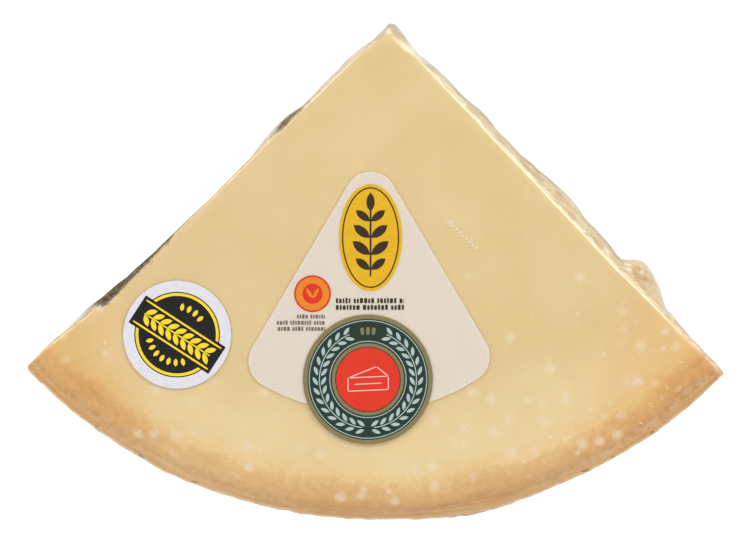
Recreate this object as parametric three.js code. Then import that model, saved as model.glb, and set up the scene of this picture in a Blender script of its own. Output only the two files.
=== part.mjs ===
// A wedge of hard, aged cheese in a clear vacuum film, with three labels.
// It is an eighth of a wheel: a quarter of the round and half of the height.
// It lies on the wheel's flat rind. The level cut through the middle of the
// wheel faces up, and the two upright sides are split rough along the grain.
// Millimetres, +Z up. +Y points to the wheel's middle, where the tip lies.

import * as THREE from 'three';
import { mergeVertices } from 'three/addons/utils/BufferGeometryUtils.js';

// The wheel, measured from its axis, which is the origin while modelling.
const WHEEL_RADIUS = 205.4;
const HALF_HEIGHT = 100;
const TIP = new THREE.Vector2(4.9, 6.4);
const LEFT_CORNER_DEG = 223.4;
const RIGHT_CORNER_DEG = 315.5;
const TIP_ROUNDING = 2.5;
const CORNER_ROUNDING = 0.9;

// The rind wall is a slight barrel, fullest at the middle of the wheel.
const BARREL_DRAW_IN = 5;
const HEEL_ROUNDING = 14;
const HEEL_REACH = 70;
const RIND_RIM_ROUNDING = 3.5;
const SPLIT_TOP_ROUNDING = 1.6;
const SPLIT_FOOT_ROUNDING = 2.5;

// Grid of the body: columns round the outline and rows up the height.
const SIDE_STEPS = 60;
const ARC_STEPS = 48;
const CORNER_STEPS = 3;
const ROW_HEIGHTS = [
  0, 1, 3.5, 8, 14, 20, 26, 32, 38, 44, 50, 56, 62, 68, 74, 80, 85.5, 90.5, 94.5, 97.5, 99.2, HALF_HEIGHT,
];

// The cut's edges lie a little inside the lines from the tip to the two corners.
// Both edges come out to their corners over their last stretch before the rind.
// Below them the split sides stand out, the left one mostly in its half near the tip.
const SPLIT_INSET = 1.5;
const EDGE_INSET = { left: 0.9, right: 1.4 };
const EDGE_INSET_AT_RIND = { left: -0.9, right: 0.1 };
const EDGE_COMES_OUT = { left: [180, 197], right: [136, 178] };
const SPLIT_BULGE = { left: 1.3, right: 2.9 };
const LEFT_BULGE_FADES = [55, 95];
const LEFT_BULGE_AFTER = 0.5;
const BULGE_DEPTH = 9;

// The split faces are lumpy like broken stone.
const GRAIN_SIZE = 17;
const GRAIN_RELIEF = 3.2;
const WAVE_LENGTH = 62;
const WAVE_RELIEF = 1.7;

// Lumps and chips on the split sides: distance from the tip, depth below the cut,
// reach towards the tip and towards the rind, reach up and down, and how far out.
// Those that start below the cut leave its edge straight. The others chip it.
const LUMPS = [
  { side: 'right', along: 148.5, below: 19, near: 8, far: 18, tall: 22, out: 7.2 },
  { side: 'right', along: 164, below: 16, near: 7, far: 7, tall: 24, out: 2.0 },
  { side: 'right', along: 184, below: 12, near: 22, far: 26, tall: 40, out: -1.5 },
  { side: 'right', along: 128, below: 24, near: 22, far: 18, tall: 40, out: 1.5 },
  { side: 'right', along: 110, below: 20, near: 62, far: 50, tall: 44, out: 1.0 },
  { side: 'right', along: 102, below: 14, near: 13, far: 20, tall: 17, out: 1.9 },
  { side: 'right', along: 79, below: 40, near: 8, far: 8, tall: 90, out: -1.6 },
  { side: 'right', along: 14, below: 40, near: 12, far: 18, tall: 90, out: -2.2 },
  { side: 'right', along: 88, below: 62, near: 22, far: 16, tall: 20, out: 3.0 },
  { side: 'right', along: 176, below: 68, near: 20, far: 18, tall: 20, out: -3.2 },
  { side: 'right', along: 32, below: 55, near: 12, far: 18, tall: 24, out: -2.6 },
  { side: 'left', along: 14, below: 20, near: 9, far: 9, tall: 60, out: -1.0 },
  { side: 'left', along: 28, below: 12, near: 9, far: 10, tall: 14, out: 1.2 },
  { side: 'left', along: 35, below: 16, near: 5, far: 6, tall: 30, out: 0.7 },
  { side: 'left', along: 58, below: 10, near: 6, far: 12, tall: 12, out: 1.4 },
  { side: 'left', along: 73, below: 14, near: 10, far: 12, tall: 16, out: 1.6 },
  { side: 'left', along: 95, below: 40, near: 10, far: 9, tall: 90, out: -0.5 },
  { side: 'left', along: 113, below: 40, near: 14, far: 14, tall: 90, out: -1.5 },
  { side: 'left', along: 137, below: 40, near: 20, far: 20, tall: 90, out: -1.05 },
  { side: 'left', along: 141, below: 40, near: 13, far: 12, tall: 90, out: -2.0 },
  { side: 'left', along: 115, below: 0, near: 45, far: 48, tall: 30, out: -0.8 },
  { side: 'left', along: 147, below: 0, near: 14, far: 10, tall: 6, out: -0.6 },
  { side: 'left', along: 165, below: 0, near: 14, far: 9, tall: 8, out: -2.0 },
  { side: 'left', along: 160, below: 18, near: 8, far: 5, tall: 20, out: 0.7 },
  { side: 'left', along: 178, below: 18, near: 20, far: 16, tall: 20, out: 1.2 },
  { side: 'left', along: 204, below: 10, near: 12, far: 12, tall: 40, out: 0.7 },
  { side: 'left', along: 198, below: 10, near: 30, far: 24, tall: 60, out: 2.5 },
  { side: 'left', along: 118, below: 40, near: 20, far: 24, tall: 20, out: -2.2 },
  { side: 'left', along: 84, below: 66, near: 18, far: 22, tall: 20, out: 2.6 },
  { side: 'left', along: 152, below: 64, near: 20, far: 12, tall: 18, out: 2.4 },
];

// Slight swells of the rind below the cut: the turn round the axis, how far they
// reach to both sides of it and down, and how far they stand out.
const RIND_SWELLS = [
  { deg: 282, reach: 11, tall: 60, out: 1.7 },
  { deg: 245, reach: 8, tall: 50, out: 0.5 },
];

// Labels on the cut face, measured from the wheel's axis.
const PANEL_TOP = new THREE.Vector2(-3.1, -47.1);
const PANEL_HALF_ANGLE_DEG = 30.5;
const PANEL_TOP_ROUNDING = 11;
const PANEL_CORNER_ROUNDING = 11.5;
const PANEL_FOOT_RADIUS = 87;
const PANEL_FOOT_CENTRE = new THREE.Vector2(-5.4, -72.4);
const PANEL_THICKNESS = 0.25;
const SEAL_CENTRE = new THREE.Vector2(-4.2, -145.5);
const SEAL_RADIUS = 27.4;
const SEAL_THICKNESS = 0.5;
const STICKER_CENTRE = new THREE.Vector2(-84.8, -126.6);
const STICKER_RADIUS = 22.8;
const STICKER_THICKNESS = 0.25;
const PANEL_SEGMENTS = 12;
const DISC_SEGMENTS = 36;

const film = new THREE.MeshStandardMaterial({ color: 0xe3c896, roughness: 0.3, metalness: 0 });
const panelFilm = new THREE.MeshStandardMaterial({ color: 0xe4d7c6, roughness: 0.35, metalness: 0 });
const sealPaper = new THREE.MeshStandardMaterial({ color: 0x2f4a3e, roughness: 0.35, metalness: 0 });
const stickerPaper = new THREE.MeshStandardMaterial({ color: 0xe9e9f2, roughness: 0.4, metalness: 0 });

// A repeatable number from 0 to 1 for a lattice cell, so that no draw is random.
function cellValue(x, y, z, salt) {
  const wave = Math.sin(x * 127.1 + y * 311.7 + z * 74.7 + salt * 53.3) * 43758.5453;
  return wave - Math.floor(wave);
}

// Smooth noise from -1 to 1 in space.
function smoothNoise(x, y, z) {
  const cell = [Math.floor(x), Math.floor(y), Math.floor(z)];
  const ease = [x - cell[0], y - cell[1], z - cell[2]].map((t) => t * t * (3 - 2 * t));
  let sum = 0;
  for (let corner = 0; corner < 8; corner++) {
    const step = [corner & 1, (corner >> 1) & 1, (corner >> 2) & 1];
    const weight = step.reduce((w, s, i) => w * (s ? ease[i] : 1 - ease[i]), 1);
    sum += weight * cellValue(cell[0] + step[0], cell[1] + step[1], cell[2] + step[2], 1);
  }
  return 2 * sum - 1;
}

// Distance to the nearest of one scattered centre a cell: 0 on a grain's crown.
function grainDistance(x, y, z) {
  let nearest = 9;
  for (let i = -1; i <= 1; i++) {
    for (let j = -1; j <= 1; j++) {
      for (let k = -1; k <= 1; k++) {
        const cell = [Math.floor(x) + i, Math.floor(y) + j, Math.floor(z) + k];
        const centre = cell.map((c, axis) => c + 0.15 + 0.7 * cellValue(...cell, axis + 2));
        nearest = Math.min(nearest, Math.hypot(x - centre[0], y - centre[1], z - centre[2]));
      }
    }
  }
  return nearest;
}

// The outline of the wedge seen from above: two split sides and the rind's arc,
// as points that know their outward direction, their side and their place on it.
function wedgeOutline() {
  const onArc = (deg) => new THREE.Vector2(
    WHEEL_RADIUS * Math.cos(THREE.MathUtils.degToRad(deg)),
    WHEEL_RADIUS * Math.sin(THREE.MathUtils.degToRad(deg)),
  );
  const left = onArc(LEFT_CORNER_DEG);
  const right = onArc(RIGHT_CORNER_DEG);
  const towards = (from, to, distance) => to.clone().sub(from).setLength(distance).add(from);
  const arcShare = THREE.MathUtils.radToDeg(CORNER_ROUNDING / WHEEL_RADIUS);
  const arcStart = THREE.MathUtils.degToRad(LEFT_CORNER_DEG + arcShare);
  const arcEnd = THREE.MathUtils.degToRad(RIGHT_CORNER_DEG - arcShare);
  const tipLeft = towards(TIP, left, TIP_ROUNDING);
  const tipRight = towards(TIP, right, TIP_ROUNDING);
  const leftFoot = towards(left, TIP, CORNER_ROUNDING);
  const rightFoot = towards(right, TIP, CORNER_ROUNDING);
  const arc = new THREE.EllipseCurve(0, 0, WHEEL_RADIUS, WHEEL_RADIUS, arcStart, arcEnd, false);
  const leftCorner = new THREE.QuadraticBezierCurve(leftFoot, left, arc.getPoint(0));
  const rightCorner = new THREE.QuadraticBezierCurve(arc.getPoint(1), right, rightFoot);
  const tip = new THREE.QuadraticBezierCurve(tipRight, TIP, tipLeft);
  const runs = [
    { side: 'left', steps: SIDE_STEPS, curve: new THREE.LineCurve(tipLeft, leftFoot) },
    { side: 'left corner', steps: CORNER_STEPS, curve: leftCorner },
    { side: 'rind', steps: ARC_STEPS, curve: arc },
    { side: 'right corner', steps: CORNER_STEPS, curve: rightCorner },
    { side: 'right', steps: SIDE_STEPS, curve: new THREE.LineCurve(rightFoot, tipRight) },
    { side: 'tip', steps: CORNER_STEPS, curve: tip },
  ];
  const outline = [];
  for (const { side, steps, curve } of runs) {
    for (let step = 0; step < steps; step++) {
      const point = curve.getPoint(step / steps);
      const tangent = curve.getTangent(Math.min(0.999, step / steps + 0.001));
      const outward = new THREE.Vector2(tangent.y, -tangent.x);
      outline.push({ side, point, outward, share: step / steps });
    }
  }
  return outline;
}

// How far an edge of the given rounding draws in at a height below its own edge.
function edgeDrawIn(rounding, distanceFromEdge) {
  const rise = Math.max(0, rounding - distanceFromEdge);
  return rounding - Math.sqrt(rounding * rounding - rise * rise);
}

// How far the rind wall lies inside the wheel's full radius at a height.
function rindDrawIn(z) {
  const share = (HALF_HEIGHT - z) / HALF_HEIGHT;
  const barrel = BARREL_DRAW_IN * share * share;
  return barrel + edgeDrawIn(HEEL_ROUNDING, z) + edgeDrawIn(RIND_RIM_ROUNDING, HALF_HEIGHT - z);
}

// A step from 0 to 1 that starts and ends gently.
function easeStep(start, end, value) {
  return THREE.MathUtils.smoothstep(value, start, end);
}

// How far the cut's edge lies inside the line between tip and corner.
function edgeInset(side, along) {
  const comesOut = easeStep(...EDGE_COMES_OUT[side], along);
  return THREE.MathUtils.lerp(EDGE_INSET[side], EDGE_INSET_AT_RIND[side], comesOut);
}

// How far a split side stands out from the line between tip and corner.
function splitStandOut(side, point, z) {
  const below = HALF_HEIGHT - z;
  const along = point.distanceTo(TIP);
  const depth = easeStep(0, BULGE_DEPTH, below);
  const wavePlace = [point.x, point.y, z].map((value) => value / WAVE_LENGTH + (side === 'left' ? 5 : 0));
  const grainPlace = [point.x, point.y, z].map((value) => value / GRAIN_SIZE);
  let bulge = SPLIT_BULGE[side];
  if (side === 'left') {
    bulge = THREE.MathUtils.lerp(bulge, LEFT_BULGE_AFTER, easeStep(...LEFT_BULGE_FADES, along));
  }
  const wave = WAVE_RELIEF * smoothNoise(...wavePlace);
  const grain = GRAIN_RELIEF * (0.55 - grainDistance(...grainPlace));
  let relief = (wave + grain) * depth;
  for (const lump of LUMPS.filter((item) => item.side === side)) {
    const reach = along < lump.along ? lump.near : lump.far;
    const spread = Math.hypot((along - lump.along) / reach, (below - lump.below) / lump.tall);
    const fade = Math.max(0, 1 - spread * spread);
    relief += lump.out * fade * Math.sqrt(fade) * (lump.below > 0 ? depth : 1);
  }
  const rindCalm = 1 - 0.6 * easeStep(WHEEL_RADIUS - 16, WHEEL_RADIUS, along);
  const tipCalm = easeStep(2, 16, along);
  const rounding = edgeDrawIn(SPLIT_TOP_ROUNDING, below) + edgeDrawIn(SPLIT_FOOT_ROUNDING, z);
  const inset = THREE.MathUtils.lerp(edgeInset(side, along), SPLIT_INSET, depth);
  return bulge * depth + relief * rindCalm * tipCalm - inset - rounding;
}

// How far the rind wall swells out at a point.
function rindStandOut(point, z) {
  const deg = THREE.MathUtils.radToDeg(Math.atan2(point.y, point.x)) + 360;
  return RIND_SWELLS.reduce((sum, swell) => {
    const spread = Math.hypot((deg - swell.deg) / swell.reach, (HALF_HEIGHT - z) / swell.tall);
    return sum + swell.out * (1 - easeStep(0, 1, spread));
  }, 0);
}

// How far a column of the outline moves out. At a corner the split side's
// movement fades into the rind, and at the tip one side's turns into the other's.
function columnStandOut(side, share, point, z) {
  if (side === 'left' || side === 'right') {
    return splitStandOut(side, point, z);
  }
  if (side === 'left corner') {
    return (1 - share) * splitStandOut('left', point, z);
  }
  if (side === 'right corner') {
    return share * splitStandOut('right', point, z);
  }
  if (side === 'tip') {
    return THREE.MathUtils.lerp(splitStandOut('right', point, z), splitStandOut('left', point, z), share);
  }
  return rindStandOut(point, z);
}

// The body: the grid of a tall cylinder, moved column by column and row by row
// onto the wedge's outline. The cylinder's two caps become the cut and the base.
function wedgeBody() {
  const outline = wedgeOutline();
  const rows = ROW_HEIGHTS.length - 1;
  const grid = new THREE.CylinderGeometry(1, 1, rows, outline.length, rows);
  const middle = outline.reduce((sum, item) => sum.add(item.point), new THREE.Vector2());
  middle.divideScalar(outline.length);
  const position = grid.attributes.position;
  for (let i = 0; i < position.count; i++) {
    const x = position.getX(i);
    const depth = position.getZ(i);
    const z = ROW_HEIGHTS[Math.round(position.getY(i) + rows / 2)];
    if (Math.hypot(x, depth) < 0.5) {
      position.setXYZ(i, middle.x, middle.y, z);
      continue;
    }
    const turn = Math.atan2(x, depth) / (2 * Math.PI);
    const column = (Math.round(turn * outline.length) + outline.length) % outline.length;
    const { side, share, point, outward } = outline[column];
    const towardsTip = TIP.clone().sub(point);
    const heelShare = easeStep(WHEEL_RADIUS - HEEL_REACH, WHEEL_RADIUS, towardsTip.length());
    const drawn = point.clone().add(towardsTip.setLength(rindDrawIn(z) * heelShare));
    const moved = drawn.clone().addScaledVector(outward, columnStandOut(side, share, drawn, z));
    position.setXYZ(i, moved.x, moved.y, z);
  }
  grid.deleteAttribute('normal');
  grid.deleteAttribute('uv');
  const body = mergeVertices(grid, 1e-3);
  body.computeVertexNormals();
  return body;
}

// The centre of a rounding that touches a straight side from inside and sits
// inside the round foot, going down the side from the panel's sharp top.
function panelCornerCentre(sideSign) {
  const half = THREE.MathUtils.degToRad(PANEL_HALF_ANGLE_DEG);
  const down = new THREE.Vector2(sideSign * Math.sin(half), -Math.cos(half));
  const inward = new THREE.Vector2(-sideSign * Math.cos(half), -Math.sin(half));
  const start = PANEL_TOP.clone().addScaledVector(inward, PANEL_CORNER_ROUNDING);
  const offset = start.clone().sub(PANEL_FOOT_CENTRE);
  const reach = PANEL_FOOT_RADIUS - PANEL_CORNER_ROUNDING;
  const behind = offset.dot(down);
  const travel = -behind + Math.sqrt(behind * behind - offset.lengthSq() + reach * reach);
  return start.addScaledVector(down, travel);
}

// The translucent panel: a triangle with round corners and a bowed foot.
function panelShape() {
  const half = THREE.MathUtils.degToRad(PANEL_HALF_ANGLE_DEG);
  const topDrop = PANEL_TOP_ROUNDING / Math.sin(half);
  const left = panelCornerCentre(-1);
  const right = panelCornerCentre(1);
  const footAngle = (centre) => Math.atan2(centre.y - PANEL_FOOT_CENTRE.y, centre.x - PANEL_FOOT_CENTRE.x);
  const shape = new THREE.Shape();
  shape.absarc(PANEL_TOP.x, PANEL_TOP.y - topDrop, PANEL_TOP_ROUNDING, half, Math.PI - half, false);
  shape.absarc(left.x, left.y, PANEL_CORNER_ROUNDING, Math.PI - half, footAngle(left) + 2 * Math.PI, false);
  shape.absarc(
    PANEL_FOOT_CENTRE.x, PANEL_FOOT_CENTRE.y, PANEL_FOOT_RADIUS,
    footAngle(left) + 2 * Math.PI, footAngle(right) + 2 * Math.PI, false,
  );
  shape.absarc(right.x, right.y, PANEL_CORNER_ROUNDING, footAngle(right), half, false);
  return shape;
}

function discShape(centre, radius) {
  const shape = new THREE.Shape();
  shape.absarc(centre.x, centre.y, radius, 0, 2 * Math.PI, false);
  return shape;
}

// A flat label of one thickness on the cut face or on the label under it.
function label(name, shape, thickness, lift, material, segments) {
  const geometry = new THREE.ExtrudeGeometry(shape, {
    depth: thickness,
    bevelEnabled: false,
    curveSegments: segments,
  });
  geometry.translate(0, 0, HALF_HEIGHT + lift);
  const mesh = new THREE.Mesh(geometry, material);
  mesh.name = name;
  return mesh;
}

const body = new THREE.Mesh(wedgeBody(), film);
body.name = 'cheese_in_film';

const sealDisc = discShape(SEAL_CENTRE, SEAL_RADIUS);
const stickerDisc = discShape(STICKER_CENTRE, STICKER_RADIUS);
const cheese = new THREE.Group();
cheese.add(
  body,
  label('triangle_panel', panelShape(), PANEL_THICKNESS, 0, panelFilm, PANEL_SEGMENTS),
  label('round_seal', sealDisc, SEAL_THICKNESS, PANEL_THICKNESS, sealPaper, DISC_SEGMENTS),
  label('age_sticker', stickerDisc, STICKER_THICKNESS, 0, stickerPaper, DISC_SEGMENTS),
);

// The origin goes to the middle of the footprint, on the surface it lies on.
body.geometry.computeBoundingBox();
const centre = body.geometry.boundingBox.getCenter(new THREE.Vector3());
for (const piece of cheese.children) {
  piece.geometry.translate(-centre.x, -centre.y, 0);
}

export default cheese;
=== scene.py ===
"""A wedge of hard, aged cheese in clear vacuum film, with three printed labels.

The wedge is an eighth of a wheel. It lies on the wheel's flat rind and shows
the level cut through the middle of the wheel. Everything is in metres, in the
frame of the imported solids, with the surface that the wedge lies on at z = 0.
"""

import math
import random

import bpy
from mathutils import Matrix, Vector, noise


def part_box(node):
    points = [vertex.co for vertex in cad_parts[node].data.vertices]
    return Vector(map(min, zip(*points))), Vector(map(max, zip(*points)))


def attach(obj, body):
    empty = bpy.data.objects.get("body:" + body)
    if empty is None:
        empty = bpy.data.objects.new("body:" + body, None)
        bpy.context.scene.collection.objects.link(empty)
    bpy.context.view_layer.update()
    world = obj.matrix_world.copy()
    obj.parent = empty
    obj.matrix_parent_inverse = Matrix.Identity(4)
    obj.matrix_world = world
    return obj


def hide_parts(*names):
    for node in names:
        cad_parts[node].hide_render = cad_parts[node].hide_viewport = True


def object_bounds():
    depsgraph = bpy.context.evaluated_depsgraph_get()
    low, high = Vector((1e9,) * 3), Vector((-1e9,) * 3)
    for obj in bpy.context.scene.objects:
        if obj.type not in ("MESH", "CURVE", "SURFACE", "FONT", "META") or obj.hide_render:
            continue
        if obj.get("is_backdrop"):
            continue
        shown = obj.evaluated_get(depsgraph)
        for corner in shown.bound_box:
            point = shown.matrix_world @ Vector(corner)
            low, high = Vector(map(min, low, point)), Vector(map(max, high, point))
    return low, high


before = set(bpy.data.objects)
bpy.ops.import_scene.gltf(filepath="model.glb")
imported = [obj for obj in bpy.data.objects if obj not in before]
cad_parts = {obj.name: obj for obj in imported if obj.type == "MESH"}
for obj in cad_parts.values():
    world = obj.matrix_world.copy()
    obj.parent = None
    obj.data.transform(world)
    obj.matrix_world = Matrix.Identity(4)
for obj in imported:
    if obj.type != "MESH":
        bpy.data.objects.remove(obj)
SOLID_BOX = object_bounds()

bl_info = {
    "name": "Vacuum packed cheese wedge",
    "version": (1, 0, 0),
    "blender": (4, 5, 0),
    "location": "3D View > Sidebar > Cheese",
    "description": "Makes a wedge of hard cheese in clear film, its labels and its studio",
    "category": "Object",
}

MM = 0.001

# Places on the level cut, in mm from the wheel's axis. The tip lies just past it.
TIP_PLACE = (4.9, 6.4)
SEAL_PLACE = (-4.2, -145.5)
STICKER_PLACE = (-84.8, -126.6)
OVAL_PLACE = (-3.1, -85.6)
MARK_PLACE = (-27.6, -109.3)
PICTURE_MIDDLE = (-0.8, -99.5)

# Turns round the wheel's axis to the corners of the wedge.
LEFT_CORNER_DEG = 223.4
RIGHT_CORNER_DEG = 315.5

# Painted highlights by the tip: place from it in mm, turn in degrees, half length and half width.
TIP_HIGHLIGHT_SPOTS = (
    ((-1.0, -4.6), 0, 1.7, 1.1),
    ((6.4, -11.2), -40, 4.8, 1.5),
)

SEAL_LOW, SEAL_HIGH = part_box("round_seal")
STICKER_LOW, STICKER_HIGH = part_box("age_sticker")
PANEL_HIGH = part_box("triangle_panel")[1]
BODY_LOW, BODY_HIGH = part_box("cheese_in_film")
WHEEL_AXIS = ((SEAL_LOW + SEAL_HIGH) / 2).to_2d() - Vector(SEAL_PLACE) * MM
CUT_HEIGHT = BODY_HIGH.z


def on_cut(place):
    """A point of the level cut, from its place in mm from the wheel's axis."""
    return WHEEL_AXIS + Vector(place) * MM


TIP = on_cut(TIP_PLACE)


def unit_step(turn):
    """A level step of length 1 in the direction of a turn in radians."""
    return Vector((math.cos(turn), math.sin(turn)))


def corner_place(wheel_radius, degrees):
    """The corner of the wedge where a split side meets the rind."""
    return WHEEL_AXIS + unit_step(math.radians(degrees)) * wheel_radius


# What a user can change


def length(name, default, description):
    """A length in metres."""
    return bpy.props.FloatProperty(name=name, description=description, default=default, unit="LENGTH")


def power(name, default, description):
    """The power of a lamp in watts."""
    return bpy.props.FloatProperty(name=name, description=description, default=default, unit="POWER")


def hex_colour(name, default, description):
    """A colour as sRGB hex."""
    return bpy.props.StringProperty(name=name, description=description, default=default)


class WedgeSizes(bpy.types.PropertyGroup):
    """Sizes of the cheese and of the film on it."""

    wheel_radius: length("Wheel radius", 0.2054, "Radius of the wheel at the level cut")
    barrel_draw_in: length("Barrel draw-in", 0.005, "How much narrower the wheel's flat face is")
    film_gap: length("Film gap", 0.0005, "How far the cheese lies inside the packed solid")
    film_sink: length("Film sink", 0.00015, "How far the film lies inside the packed solid")
    tan_wander: length("Tan wander", 0.006, "How much the depth of the tan layer wanders")
    mesh_pitch: length("Mesh pitch", 0.00134, "Edge length of the mesh of the cheese and the film")
    tip_wear: length("Tip wear", 0.008, "Radius to which the upper edges are worn at the tip")
    crag_depth: length("Crag depth", 0.0022, "Depth of the crags between the split sides' grains")
    crag_size: length("Crag size", 0.009, "Width of a large grain of the split sides")


class CheeseColours(bpy.types.PropertyGroup):
    """Colours of the paste, the rind and what is in them."""

    paste: hex_colour("Paste", "E0C791", "Colour of the level cut")
    paste_near_rind: hex_colour("Paste near the rind", "E8D09D", "Pale paste before the rind")
    warm_paste: hex_colour("Warm paste", "E8CA8F", "Between the pale paste and the tan layer")
    tan_edge: hex_colour("Tan edge", "DFB87A", "Inner edge of the tan layer")
    tan_layer: hex_colour("Tan layer", "D7AA6F", "Tan layer inside the rind")
    rind_inside: hex_colour("Rind inside", "C79960", "Hard layer of the rind")
    rind_rim: hex_colour("Rind rim", "D0A56C", "Outer skin of the wheel")
    rim_line: hex_colour("Rim line", "A67B50", "Thin darker line inside the rim")
    # Painted sheen: the film's reflection over the rim.
    painted_rim_sheen: hex_colour("Rim haze", "D0B08A", "Pale patches by the right rim")
    rim_nick: hex_colour("Rim nick", "8A4E2C", "Dark nicks in the outer rim")
    crystal: hex_colour("Crystal", "EBD9BA", "Pale spots in aged paste")
    # Painted highlight: small bright glints of the film over the paste.
    painted_glint: hex_colour("Bright speck", "F6E3C2", "Small crystals that catch the light")
    # Pale crests, partly painted highlight; also the colour of the painted highlights at the tip.
    crest_and_highlight: hex_colour("Crest", "F3E6C6", "Pale crests of the grains")
    ochre_patch: hex_colour("Ochre patch", "BD9550", "Deeper patches of the split sides")
    # Painted shade in the hollows between the grains.
    crevice_shade: hex_colour("Crevice", "C4A05F", "Hollows between the grains")
    # The next two colours are painted shade, with lighter flecks, for the hollows by the left edge and
    # under the rim.
    shaded_pocket: hex_colour("Shaded pocket", "3C3319", "Dark hollows by the left edge")
    pocket_fleck: hex_colour("Pocket fleck", "957C47", "Lighter flecks in the dark hollows")
    # The next three colours are painted shade on the film, over the dark hollows and under the rim.
    painted_shade_dark: hex_colour("Dark whey", "231C0C", "Thickest whey under the film")
    painted_shade: hex_colour("Whey", "574423", "Most of the whey under the film")
    painted_shade_pale: hex_colour("Pale whey", "957C47", "Thin spots in the whey under the film")


class LabelColours(bpy.types.PropertyGroup):
    """Printing inks and papers of the labels."""

    panel: hex_colour("Panel", "EFE4D6", "Milky panel")
    plaque: hex_colour("Plaque", "DCAC12", "Yellow oval")
    brown: hex_colour("Brown", "33230E", "Outlines and bars")
    grey: hex_colour("Grey", "6E6459", "Thin lines")
    orange: hex_colour("Orange", "E0821C", "Small round mark")
    red: hex_colour("Red", "DA3018", "Small round mark and large seal")
    gold: hex_colour("Gold", "877A52", "Rim of the large seal")
    green: hex_colour("Green", "1C3027", "Ring of the large seal")
    pale: hex_colour("Pale", "A9BEBA", "Leaves and fine rings")
    pink: hex_colour("Pink", "F6BDB2", "Lines in the red disc")
    white: hex_colour("White", "DCDAE1", "Sticker paper")
    black: hex_colour("Black", "0F0D10", "Sticker disc")
    yellow: hex_colour("Yellow", "F7D426", "Sticker lines")


class StageSettings(bpy.types.PropertyGroup):
    """Lights and camera."""

    camera_distance: length("Camera distance", 1.5, "Height of the camera above the level cut")
    frame_width: length("Frame width", 0.3177, "Width of the picture at the level cut")
    key_power: power("Key power", 6.6, "Softbox on the right")
    fill_power: power("Fill power", 4.0, "Softbox on the left")
    front_power: power("Front power", 5.3, "Large softbox in front")
    sky_strength: bpy.props.FloatProperty(
        name="Sky strength", description="Brightness of the white room", default=0.755
    )


# Colours and nodes

SMOOTH = {"interpolation_type": "SMOOTHSTEP"}
COVER = {"data_type": "RGBA"}
TINT = {"data_type": "RGBA", "blend_type": "MULTIPLY"}


def linear_colour(srgb_hex):
    """An sRGB hex colour as linear red, green, blue and alpha 1."""
    channels = [int(srgb_hex[i : i + 2], 16) / 255 for i in (0, 2, 4)]
    return [c / 12.92 if c <= 0.04045 else ((c + 0.055) / 1.055) ** 2.4 for c in channels] + [1.0]


def four_channels(colour):
    """Linear channels of an sRGB hex colour, of a linear grey or of a linear colour."""
    if isinstance(colour, str):
        return linear_colour(colour)
    if isinstance(colour, float):
        return (colour, colour, colour, 1.0)
    return (*colour[:3], 1.0)


def add_node(tree, kind, inputs=(), stops=(), **settings):
    """Adds a node with its settings, its inputs and the stops of a colour ramp.

    Inputs are named, or listed in the order in which the node shows them. Each is
    a value, or a socket to link from, or a node, whose first shown output is meant.
    """
    made = tree.nodes.new("ShaderNode" + kind)
    for name, value in settings.items():
        setattr(made, name, value)
    shown = [socket for socket in made.inputs if socket.enabled]
    named = inputs if isinstance(inputs, dict) else dict(enumerate(inputs))
    for name, value in named.items():
        socket = made.inputs[name] if isinstance(name, str) else shown[name]
        if isinstance(value, bpy.types.Node):
            value = next(output for output in value.outputs if output.enabled)
        if isinstance(value, bpy.types.NodeSocket):
            tree.links.new(value, socket)
        else:
            socket.default_value = four_channels(value) if socket.type == "RGBA" else value
    while stops and len(made.color_ramp.elements) < len(stops):
        made.color_ramp.elements.new(0.5)
    for stop, (place, colour) in enumerate(stops):
        made.color_ramp.elements[stop].position = place
        made.color_ramp.elements[stop].color = four_channels(colour)
    return made


def new_material(name):
    """A material with an empty node tree, and add_node as it is called for that tree."""
    material = bpy.data.materials.new(name)
    material.use_nodes = True
    material.node_tree.nodes.clear()

    def add(kind, inputs=(), stops=(), **settings):
        return add_node(material.node_tree, kind, inputs, stops, **settings)

    return material, add


# The cheese's material. A layer yields shares, whose product says how much it shows, its
# colour, and whether that covers or tints what is below.


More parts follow.
